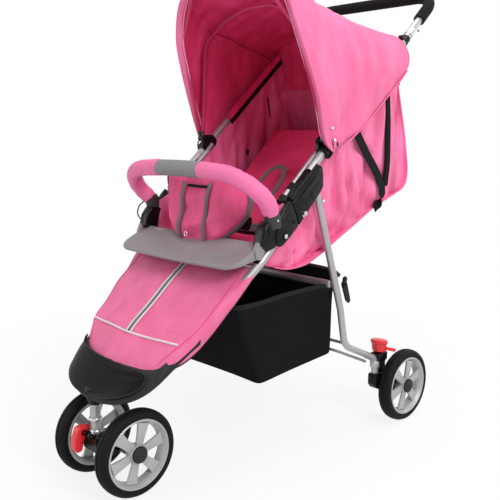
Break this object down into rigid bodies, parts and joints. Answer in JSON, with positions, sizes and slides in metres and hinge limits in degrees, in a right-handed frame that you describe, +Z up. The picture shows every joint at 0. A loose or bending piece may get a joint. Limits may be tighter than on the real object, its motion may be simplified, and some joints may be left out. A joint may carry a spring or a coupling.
{
  "type": "baby stroller",
  "caption": "Three-wheeled folding baby stroller with swivelling twin front wheels, canopy, reclining padded seat, bumper bar, leg cover and basket.",
  "frame": {"origin": "on the floor, under the middle of the whole stroller's bounding box", "axes": "+Z up; the front wheels are towards -Y and the handle towards +Y; +X is the seated child's left"},
  "size_m": [0.503, 0.946, 1.061],
  "materials": {
    "tyre_foam": "matt foam rubber",
    "rim_silver": "silver-painted plastic",
    "black_plastic": "fine-grained",
    "dark_plastic": "fine-grained",
    "gloss_black": "polished",
    "steel": "satin",
    "wire": "dark powder coat",
    "silver_tube": "satin anodised",
    "red_plastic": "satin",
    "grey_plastic": "fine-grained",
    "grey_foam": "matt foam",
    "black_foam": "matt foam",
    "pink_fabric": "woven polyester",
    "magenta_fabric": "woven polyester",
    "black_fabric": "woven polyester",
    "grey_webbing": "ribbed webbing",
    "board": "covered panel"
  },
  "bodies": {
    "frame": {"front_tube_left": "silver_tube", "front_tube_right": "silver_tube", "nose_cover": "dark_plastic", "nose_panel": "gloss_black", "caster_socket": "black_plastic", "hinge_cover_lower_left": "black_plastic", "hinge_cover_lower_right": "black_plastic", "knee_plates": "steel", "knee_pins": "steel", "leg_pins": "steel", "bumper_brackets": "black_plastic", "seat_front_bar": "silver_tube", "seat_tray": "grey_plastic", "seat_board": "board", "seat_pad": "magenta_fabric", "seat_tub": "pink_fabric", "crotch_panel": "pink_fabric", "leg_cover": "pink_fabric", "basket": "black_fabric"},
    "caster": {"caster_stem": "steel", "caster_block": "black_plastic", "front_axle": "steel"},
    "swivel_lock": {"swivel_lock_lever": "red_plastic"},
    "rear_frame": {"rear_leg_left": "silver_tube", "rear_leg_right": "silver_tube", "wheel_housing_left": "black_plastic", "wheel_housing_right": "black_plastic", "rear_axles": "steel", "rear_cross_tube": "wire", "rear_rods": "wire"},
    "brake_left": {"brake_pedal_left": "red_plastic"},
    "brake_right": {"brake_pedal_right": "red_plastic"},
    "catch": {"fold_catch": "black_plastic"},
    "handle": {"handle_tube": "silver_tube", "handle_grip": "black_foam", "hinge_cover_upper_left": "black_plastic", "hinge_cover_upper_right": "black_plastic", "seat_side_tubes": "silver_tube", "canopy_clips": "black_plastic", "canopy_cloth": "pink_fabric"},
    "canopy_front": {"canopy_front_hoop": "wire"},
    "canopy_middle": {"canopy_middle_hoop": "wire"},
    "backrest": {"backrest_board": "board", "backrest_pad": "magenta_fabric", "harness": "grey_webbing"},
    "bumper": {"bumper_bar": "steel", "bumper_middle_grip": "grey_foam", "bumper_sleeves": "pink_fabric"},
    "front_left_wheel": {"front_left_wheel_tyre": "tyre_foam", "front_left_wheel_rim": "rim_silver", "front_left_wheel_cap": "black_plastic"},
    "front_right_wheel": {"front_right_wheel_tyre": "tyre_foam", "front_right_wheel_rim": "rim_silver", "front_right_wheel_cap": "black_plastic"},
    "rear_left_wheel": {"rear_left_wheel_tyre": "tyre_foam", "rear_left_wheel_rim": "rim_silver", "rear_left_wheel_cap": "black_plastic"},
    "rear_right_wheel": {"rear_right_wheel_tyre": "tyre_foam", "rear_right_wheel_rim": "rim_silver", "rear_right_wheel_cap": "black_plastic"}
  },
  "joints": [
    {"name": "caster_swivel", "type": "hinge", "parent": "frame", "child": "caster", "pos_m": [0, -0.426, 0.15], "axis": [0, 0, 1], "continuous": true},
    {"name": "swivel_lock_hinge", "type": "hinge", "parent": "caster", "child": "swivel_lock", "pos_m": [0, -0.446, 0.122], "axis": [1, 0, 0], "range_deg": [-12, 0]},
    {"name": "front_left_wheel_spin", "type": "hinge", "parent": "caster", "child": "front_left_wheel", "pos_m": [0.0745, -0.384, 0.089], "axis": [1, 0, 0], "continuous": true},
    {"name": "front_right_wheel_spin", "type": "hinge", "parent": "caster", "child": "front_right_wheel", "pos_m": [-0.0745, -0.384, 0.089], "axis": [1, 0, 0], "continuous": true},
    {"name": "frame_fold", "type": "hinge", "parent": "frame", "child": "handle", "pos_m": [0, -0.044, 0.548], "axis": [1, 0, 0], "range_deg": [0, 30], "deforming": ["seat_tub", "canopy_cloth"]},
    {"name": "rear_leg_fold", "type": "hinge", "parent": "frame", "child": "rear_frame", "pos_m": [0, 0.009, 0.598], "axis": [1, 0, 0], "range_deg": [-48, 0], "deforming": ["basket"]},
    {"name": "rear_left_wheel_spin", "type": "hinge", "parent": "rear_frame", "child": "rear_left_wheel", "pos_m": [0.229, 0.316, 0.089], "axis": [1, 0, 0], "continuous": true},
    {"name": "rear_right_wheel_spin", "type": "hinge", "parent": "rear_frame", "child": "rear_right_wheel", "pos_m": [-0.229, 0.316, 0.089], "axis": [1, 0, 0], "continuous": true},
    {"name": "brake_left_hinge", "type": "hinge", "parent": "rear_frame", "child": "brake_left", "pos_m": [0.195, 0.275, 0.191], "axis": [1, 0, 0], "range_deg": [-14, 0]},
    {"name": "brake_right_hinge", "type": "hinge", "parent": "rear_frame", "child": "brake_right", "pos_m": [-0.195, 0.275, 0.191], "axis": [1, 0, 0], "range_deg": [-14, 0]},
    {"name": "fold_catch_hinge", "type": "hinge", "parent": "rear_frame", "child": "catch", "pos_m": [0.206, 0.101, 0.372], "axis": [1, 0, 0], "range_deg": [0, 30]},
    {"name": "canopy_front_fold", "type": "hinge", "parent": "handle", "child": "canopy_front", "pos_m": [0, 0.03, 0.697], "axis": [1, 0, 0], "range_deg": [-50, 0], "deforming": ["canopy_cloth"]},
    {"name": "canopy_middle_fold", "type": "hinge", "parent": "handle", "child": "canopy_middle", "pos_m": [0, 0.03, 0.697], "axis": [1, 0, 0], "range_deg": [-42, 0], "deforming": ["canopy_cloth"]},
    {"name": "backrest_recline", "type": "hinge", "parent": "frame", "child": "backrest", "pos_m": [0, 0.018, 0.462], "axis": [1, 0, 0], "range_deg": [-20, 20], "deforming": ["seat_tub"]},
    {"name": "bumper_swing", "type": "hinge", "parent": "frame", "child": "bumper", "pos_m": [0, -0.131, 0.538], "axis": [1, 0, 0], "range_deg": [-25, 40], "deforming": ["crotch_panel"]}
  ],
  "couplings": [
    {"joint": "rear_leg_fold", "follows": "frame_fold", "ratio": -1.6},
    {"joint": "canopy_middle_fold", "follows": "canopy_front_fold", "ratio": 0.84}
  ]
}
